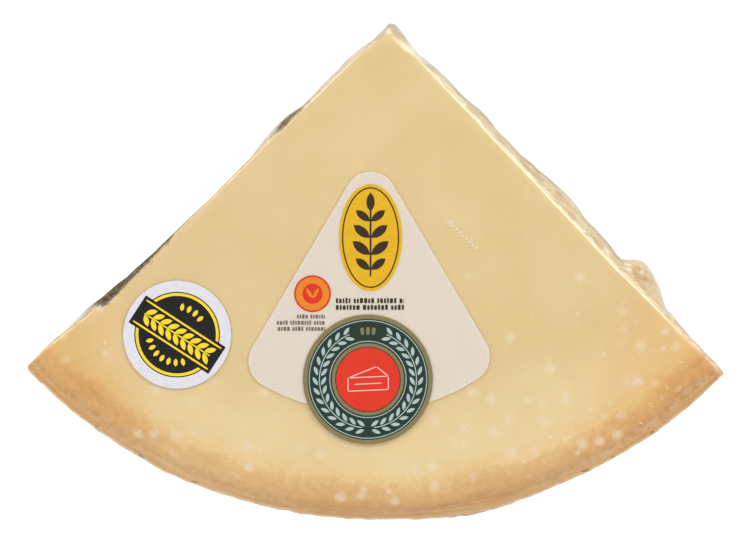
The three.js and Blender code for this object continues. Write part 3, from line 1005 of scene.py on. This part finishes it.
# Sizes of the print, in mm, and the turn of the sticker's band.
OVAL_HALF_SIZE = (13.4, 22.6)
MARK_HALF_SIZE = (7.8, 7.8)
SEAL_HALF_SIZE = (27.4, 27.4)
STICKER_HALF_SIZE = (22.8, 22.8)
STEM_RADIUS = 20.5
LINE_WIDTH = 0.45
BAND_SIZE = (40.2, 13.5)
BAND_TURN_DEG = -33.0
GRAIN_RADIUS = 11.8

# The seal's wreath: leaves in a spray, the turn from the foot to the first one and from
# one to the next, and the turns between which its stem shows.
SPRAY_LEAVES = 14
FIRST_LEAF_DEG, LEAF_STEP_DEG = 9, 11.3
STEM_ARCS = ((277, 360), (0, 68), (112, 263))

# Lines along the sticker's band: how far off its middle, and their length and width.
BAND_LINES = ((-5.2, (37.6, 0.8)), (5.2, (37.6, 0.8)), (0.0, (33.0, 0.6)))

# The faint row on the bare film: its strokes, its start and the way from one to the next.
FAINT_STROKES = 9
FAINT_START = (30.6, -79.5)
FAINT_STEP = (1.35, -1.32)

# Pairs of leaves on the oval's sprig: how far above its middle, and how long, in mm.
LEAF_PAIRS = ((9.2, 7.6), (2.6, 8.8), (-4.4, 9.4), (-11.2, 7.8))

# Rows in place of fine print: start and end rightwards, place upwards and height, in mm
# from the wheel's axis.
BROWN_ROWS = ((-17.7, 11.0, -112.2, 2.25), (-17.7, 11.0, -115.0, 2.25))
GREY_ROWS = (
    (-34.2, -22.4, -118.9, 1.85),
    (-42.7, -22.4, -121.5, 1.85),
    (-42.3, -22.4, -124.1, 1.85),
)


def edit_circle(name, radius, vertices):
    """A flat disc in edit mode, with all of it selected."""
    bpy.ops.object.select_all(action="DESELECT")
    bpy.ops.mesh.primitive_circle_add(
        vertices=vertices, radius=radius, fill_type="NGON", location=(0, 0, 0)
    )
    bpy.context.object.name = name
    edit_all(bpy.context.object)
    return bpy.context.object


def rounded_block(name, width=1.0, height=1.0, rounding=0.16):
    """A flat block with rounded corners. A unit one is printed small, as a stroke."""
    bpy.ops.object.select_all(action="DESELECT")
    bpy.ops.mesh.primitive_plane_add(size=1.0, location=(0, 0, 0))
    shape = bpy.context.object
    shape.name = name
    edit_all(shape)
    bpy.ops.transform.resize(value=(width, height, 1.0))
    bpy.ops.mesh.bevel(affect="VERTICES", offset=rounding, segments=2)
    bpy.ops.object.mode_set(mode="OBJECT")
    return shape


def pointed_leaf(name):
    """A flat leaf a unit long, with a point at both ends."""
    shape = edit_circle(name, 0.5, 14)
    bpy.ops.transform.resize(value=(0.42, 0.84, 1.0))
    for end in (1, -1):
        bpy.ops.mesh.select_all(action="DESELECT")
        bpy.ops.object.mode_set(mode="OBJECT")
        for vertex in shape.data.vertices:
            vertex.select = vertex.co.y * end > 0.41
        bpy.ops.object.mode_set(mode="EDIT")
        bpy.ops.transform.translate(value=(0, 0.08 * end, 0))
    bpy.ops.object.mode_set(mode="OBJECT")
    return shape


def thin_arc(name, radius, width, start, end):
    """A flat ring of the given width, kept between two turns in degrees."""
    shape = edit_circle(name, radius, 96)
    bpy.ops.mesh.inset(thickness=width, depth=0)
    bpy.ops.mesh.delete(type="FACE")
    bpy.ops.object.mode_set(mode="OBJECT")
    for face in shape.data.polygons:
        turn = math.degrees(math.atan2(face.center.y, face.center.x)) % 360
        face.select = not start <= turn <= end
    bpy.ops.object.mode_set(mode="EDIT")
    bpy.ops.mesh.delete(type="FACE")
    bpy.ops.object.mode_set(mode="OBJECT")
    return shape


def ringed_disc(name, middle, base, top, half_size, rings):
    """A flat disc or oval, printed in rings from its rim inwards.

    Each ring is its width and its material. The last one fills the middle.
    """
    disc = edit_circle(name, 1.0, 96)
    inks = list(dict.fromkeys(ink for _, ink in rings))
    for ink in inks:
        disc.data.materials.append(ink)
    bpy.ops.transform.resize(value=(half_size[0] * MM, half_size[1] * MM, 1.0))
    bpy.ops.transform.translate(value=(middle.x, middle.y, base))
    if top > base:
        bpy.ops.mesh.extrude_region_move(TRANSFORM_OT_translate={"value": (0, 0, top - base)})
    for (width, _), (_, next_ink) in zip(rings, rings[1:]):
        bpy.ops.mesh.inset(thickness=width * MM, depth=0)
        disc.active_material_index = inks.index(next_ink)
        bpy.ops.object.material_slot_assign()
    bpy.ops.object.mode_set(mode="OBJECT")
    return disc


def print_copy(pieces, shape, ink, middle, height, size, turn=0.0):
    """Adds a copy of a flat shape, printed at a place, to the pieces of a label."""
    copy = shape.copy()
    copy.data = shape.data.copy()
    bpy.context.scene.collection.objects.link(copy)
    copy.data.transform(
        Matrix.Translation((middle.x, middle.y, height))
        @ Matrix.Rotation(math.radians(turn), 4, "Z")
        @ Matrix.Diagonal((size[0] * MM, size[1] * MM, 1, 1))
    )
    copy.data.materials.clear()
    copy.data.materials.append(ink)
    pieces.append(copy)


def joined(pieces, name, shapes):
    """One piece of all the given ones, and the shapes that were copied removed."""
    for shape in shapes:
        bpy.data.objects.remove(shape)
    select_only(pieces[0])
    for piece in pieces:
        piece.select_set(True)
    bpy.ops.object.join()
    pieces[0].name = name
    pieces[0].data.name = name
    return pieces[0]


def block_row(pieces, block, ink, row, height, draw):
    """Blocks of uneven width in a row, in groups, where fine print would be."""
    place, end, upwards, size = row
    left_in_group = draw.randint(4, 9)
    while place < end:
        width = min(size * draw.uniform(0.30, 0.62), end - place)
        tall = size * draw.uniform(0.82, 1.0)
        middle = on_cut((place + width / 2, upwards - (size - tall) / 2))
        print_copy(pieces, block, ink, middle, height, (width, tall))
        left_in_group -= 1
        place += width + size * 0.21
        if left_in_group == 0:
            place += size * 0.42
            left_in_group = draw.randint(4, 9)


class CHEESE_OT_panel(bpy.types.Operator):
    """Makes the milky panel with its oval, its small round mark and its rows"""

    bl_idname = "cheese.panel"
    bl_label = "Panel"

    def execute(self, context):
        colours = context.scene.label_colours
        yellow = ink_material("yellow ink on film", colours.plaque)
        brown = ink_material("brown ink on film", colours.brown)
        grey_ink = ink_material("grey ink on film", colours.grey)
        orange = ink_material("orange ink on film", colours.orange)
        red = ink_material("red ink on film", colours.red)
        pale = thin_ink_material("thin pale ink on film", colours.panel, 0.35)
        height = PANEL_HIGH.z + PRINT_LIFT
        above = height + PRINT_LIFT
        block = rounded_block("block")
        leaf = pointed_leaf("leaf")

        panel = copy_of_solid("triangle_panel", "panel")
        panel.data.materials.append(thin_ink_material("milky ink on clear film", colours.panel, 0.60))
        pieces = [panel]

        # A sprig with pairs of leaves fills the oval.
        oval = on_cut(OVAL_PLACE)
        rings = [(1.3, yellow), (0.6, brown), (0.0, yellow)]
        pieces.append(ringed_disc("oval", oval, height, height, OVAL_HALF_SIZE, rings))
        print_copy(pieces, leaf, brown, oval + Vector((0, 15.0)) * MM, above, (8.4, 8.2))
        stem = oval + Vector((0, -1.0)) * MM
        print_copy(pieces, block, brown, stem, height + PRINT_LIFT / 2, (0.8, 31.0))
        for rise, leaf_length in LEAF_PAIRS:
            for side in (-1, 1):
                middle = oval + Vector((side * leaf_length * 0.42, rise)) * MM
                size = (leaf_length * 1.02, leaf_length)
                print_copy(pieces, leaf, brown, middle, above, size, -side * 52)

        mark = on_cut(MARK_PLACE)
        rings = [(0.8, red), (2.7, orange), (0.0, red)]
        pieces.append(ringed_disc("mark", mark, height, height, MARK_HALF_SIZE, rings))
        for side in (-1, 1):
            middle = mark + Vector((1.35 * side, 0.2)) * MM
            print_copy(pieces, leaf, orange, middle, above, (3.4, 5.2), -32 * side)

        draw = random.Random(ROW_SEED)
        for ink, rows in ((brown, BROWN_ROWS), (grey_ink, GREY_ROWS)):
            for row in rows:
                block_row(pieces, block, ink, row, height, draw)

        # A faint row on the bare film, right of the panel.
        for step in range(FAINT_STROKES):
            middle = on_cut([start + way * step for start, way in zip(FAINT_START, FAINT_STEP)])
            size = (2.6, 2.6) if step == 0 else (1.0, 1.6)
            print_copy(pieces, block, pale, middle, CUT_HEIGHT + 3 * PRINT_LIFT, size, -44)

        piece = joined(pieces, "panel_print", [block, leaf])
        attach(piece, "root")
        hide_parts("triangle_panel")
        return {"FINISHED"}


class CHEESE_OT_seal(bpy.types.Operator):
    """Makes the large round seal with its gold rings and its wreath"""

    bl_idname = "cheese.seal"
    bl_label = "Seal"

    def execute(self, context):
        colours = context.scene.label_colours
        gold = ink_material("bronze ink on coated paper", colours.gold, metallic=0.25)
        green = ink_material("dark green ink on coated paper", colours.green)
        pale = ink_material("pale green ink on coated paper", colours.pale)
        red = ink_material("red ink on coated paper", colours.red)
        pink = ink_material("pink ink on coated paper", colours.pink)
        middle = on_cut(SEAL_PLACE)
        rings = [
            (1.85, gold), (0.55, green), (0.35, pale), (8.35, green), (0.35, pale),
            (0.7, green), (1.4, gold), (0.4, green), (0.0, red),
        ]
        pieces = [ringed_disc("disc", middle, SEAL_LOW.z, SEAL_HIGH.z, SEAL_HALF_SIZE, rings)]
        above = SEAL_HIGH.z + PRINT_LIFT
        leaf = pointed_leaf("leaf")
        block = rounded_block("block")

        # Two sprays of leaves rise from the foot of the ring to its top.
        for side in (-1, 1):
            for step in range(SPRAY_LEAVES):
                turn = math.radians(-90 + side * (FIRST_LEAF_DEG + step * LEAF_STEP_DEG))
                for out in (-1, 1):
                    place = middle + unit_step(turn) * (STEM_RADIUS + out * 1.75) * MM
                    tilt = math.degrees(turn) + (0 if side > 0 else 180) - side * out * 30
                    print_copy(pieces, leaf, pale, place, above, (3.6, 4.1), tilt)
        for start, end in STEM_ARCS:
            arc = thin_arc("stem", STEM_RADIUS + 0.2, 0.4, start, end)
            print_copy(pieces, arc, pale, middle, above, (1, 1))
            bpy.data.objects.remove(arc)
        for offset in (-2.4, 0.0, 2.4):
            turn = math.radians(90) + offset / STEM_RADIUS
            place = middle + unit_step(turn) * STEM_RADIUS * MM
            print_copy(pieces, block, gold, place, above, (1.5, 3.0), math.degrees(turn) - 90)

        # A wedge of cheese in thin lines stands in the red disc.
        tip, back, front = Vector((-8.4, 0.6)), Vector((3.6, 5.4)), Vector((8.6, 1.4))
        foot = Vector((0.0, -5.6))
        groove = (tip * 0.82 + front * 0.18 + foot * 0.5, front * 0.82 + tip * 0.18 + foot * 0.5)
        for start, end in (
            (tip, back), (back, front), (tip, front), (tip, tip + foot),
            (front, front + foot), (tip + foot, front + foot), groove,
        ):
            way = end - start
            size = (way.length + LINE_WIDTH, LINE_WIDTH)
            turn = math.degrees(math.atan2(way.y, way.x))
            print_copy(pieces, block, pink, middle + (start + end) / 2 * MM, above, size, turn)

        piece = joined(pieces, "seal_print", [leaf, block])
        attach(piece, "root")
        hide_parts("round_seal")
        return {"FINISHED"}


class CHEESE_OT_sticker(bpy.types.Operator):
    """Makes the white sticker with its black disc and its slanted band"""

    bl_idname = "cheese.sticker"
    bl_label = "Sticker"

    def execute(self, context):
        colours = context.scene.label_colours
        white = ink_material("white coated paper", colours.white)
        black = ink_material("black ink on coated paper", colours.black)
        yellow = ink_material("lemon ink on coated paper", colours.yellow)
        middle = on_cut(STICKER_PLACE)
        rings = [(4.7, white), (0.5, black), (1.2, yellow), (0.0, black)]
        top = STICKER_HIGH.z
        pieces = [ringed_disc("disc", middle, STICKER_LOW.z, top, STICKER_HALF_SIZE, rings)]
        block = rounded_block("block")
        leaf = pointed_leaf("leaf")

        along = unit_step(math.radians(BAND_TURN_DEG))
        across = Vector((-along.y, along.x))
        band = rounded_block("band", *BAND_SIZE, 0.3)
        print_copy(pieces, band, black, middle, top + PRINT_LIFT, (1, 1), BAND_TURN_DEG)
        bpy.data.objects.remove(band)
        above = top + 2 * PRINT_LIFT
        # An ear of grain fills the band, between its two lines.
        for offset, size in BAND_LINES:
            place = middle + across * offset * MM
            print_copy(pieces, block, yellow, place, above, size, BAND_TURN_DEG)
        for step in range(-4, 5):
            for side in (-1, 1):
                place = middle + (along * (step * 3.7 + 0.6) + across * side * 2.1) * MM
                turn = BAND_TURN_DEG - 90 + side * 42
                print_copy(pieces, leaf, yellow, place, above, (5.2, 5.2), turn)
        # Grains stand in an arc above the band and in another below it.
        for turn, count in ((BAND_TURN_DEG + 90, 4), (BAND_TURN_DEG - 90, 7)):
            for step in range(count):
                here = math.radians(turn + 15.0 * (step - (count - 1) / 2))
                place = middle + unit_step(here) * GRAIN_RADIUS * MM
                print_copy(pieces, leaf, yellow, place, above, (4.2, 3.4), math.degrees(here) - 90)

        piece = joined(pieces, "sticker_print", [block, leaf])
        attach(piece, "root")
        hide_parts("age_sticker")
        return {"FINISHED"}


# The stage's floor, and the width of the camera's sensor in mm.
FLOOR_SIZE = 6.0
SENSOR_WIDTH = 36.0


class CHEESE_OT_stage(bpy.types.Operator):
    """Sets up the pale floor, the soft lights and the camera above"""

    bl_idname = "cheese.stage"
    bl_label = "Stage"

    def execute(self, context):
        settings = context.scene.stage_settings
        context.scene.view_settings.view_transform = "Standard"
        bpy.ops.mesh.primitive_plane_add(size=FLOOR_SIZE, location=(0, 0, 0))
        floor = context.object
        floor.name = "floor"
        floor.data.materials.append(floor_material())
        floor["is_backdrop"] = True

        room = bpy.data.worlds.new("white room")
        room.use_nodes = True
        background = room.node_tree.nodes["Background"]
        background.inputs["Color"].default_value = four_channels(1.0)
        background.inputs["Strength"].default_value = settings.sky_strength
        context.scene.world = room

        middle = Vector((0, 0, CUT_HEIGHT))
        for name, place, size, watts in (
            ("key softbox", Vector((0.80, 0.80, 0.80)), 0.45, settings.key_power),
            ("fill softbox", Vector((-0.80, 0.80, 0.80)), 0.45, settings.fill_power),
            ("front softbox", Vector((0.0, -1.1, 1.2)), 1.8, settings.front_power),
        ):
            bpy.ops.object.light_add(type="AREA", location=place)
            lamp = context.object
            lamp.name = name
            lamp.data.size = size
            lamp.data.energy = watts
            lamp.rotation_euler = (middle - place).to_track_quat("-Z", "Y").to_euler()

        place = (*on_cut(PICTURE_MIDDLE), CUT_HEIGHT + settings.camera_distance)
        bpy.ops.object.camera_add(location=place, rotation=(0, 0, 0))
        camera = context.object
        camera.name = "camera above"
        camera.data.sensor_width = SENSOR_WIDTH
        camera.data.lens = SENSOR_WIDTH * settings.camera_distance / settings.frame_width
        context.scene.camera = camera
        return {"FINISHED"}


class CHEESE_PT_sidebar(bpy.types.Panel):
    """Lists the pieces in the sidebar"""

    bl_idname = "CHEESE_PT_sidebar"
    bl_label = "Cheese wedge"
    bl_space_type = "VIEW_3D"
    bl_region_type = "UI"
    bl_category = "Cheese"

    def draw(self, context):
        for operator in OPERATORS:
            self.layout.operator(operator.bl_idname)


PROPERTY_GROUPS = {
    "wedge_sizes": WedgeSizes,
    "cheese_colours": CheeseColours,
    "label_colours": LabelColours,
    "stage_settings": StageSettings,
}
OPERATORS = (
    CHEESE_OT_wedge,
    CHEESE_OT_film,
    CHEESE_OT_panel,
    CHEESE_OT_seal,
    CHEESE_OT_sticker,
    CHEESE_OT_stage,
)


def register():
    """Registers the sizes and colours, the operators and the panel."""
    for name, group in PROPERTY_GROUPS.items():
        bpy.utils.register_class(group)
        setattr(bpy.types.Scene, name, bpy.props.PointerProperty(type=group))
    for operator in OPERATORS:
        bpy.utils.register_class(operator)
    bpy.utils.register_class(CHEESE_PT_sidebar)


def unregister():
    """Takes away all that register added."""
    bpy.utils.unregister_class(CHEESE_PT_sidebar)
    for operator in reversed(OPERATORS):
        bpy.utils.unregister_class(operator)
    for name, group in reversed(PROPERTY_GROUPS.items()):
        delattr(bpy.types.Scene, name)
        bpy.utils.unregister_class(group)


def main():
    """Makes every piece in order and works out the boxes of the solids and of the pieces."""
    register()
    bpy.ops.cheese.wedge()
    bpy.ops.cheese.film()
    bpy.ops.cheese.panel()
    bpy.ops.cheese.seal()
    bpy.ops.cheese.sticker()
    bpy.ops.cheese.stage()
    boxes = {"solids": SOLID_BOX, "pieces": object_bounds()}
    {name: [list(corner) for corner in box] for name, box in boxes.items()}


if __name__ == "__main__":
    main()
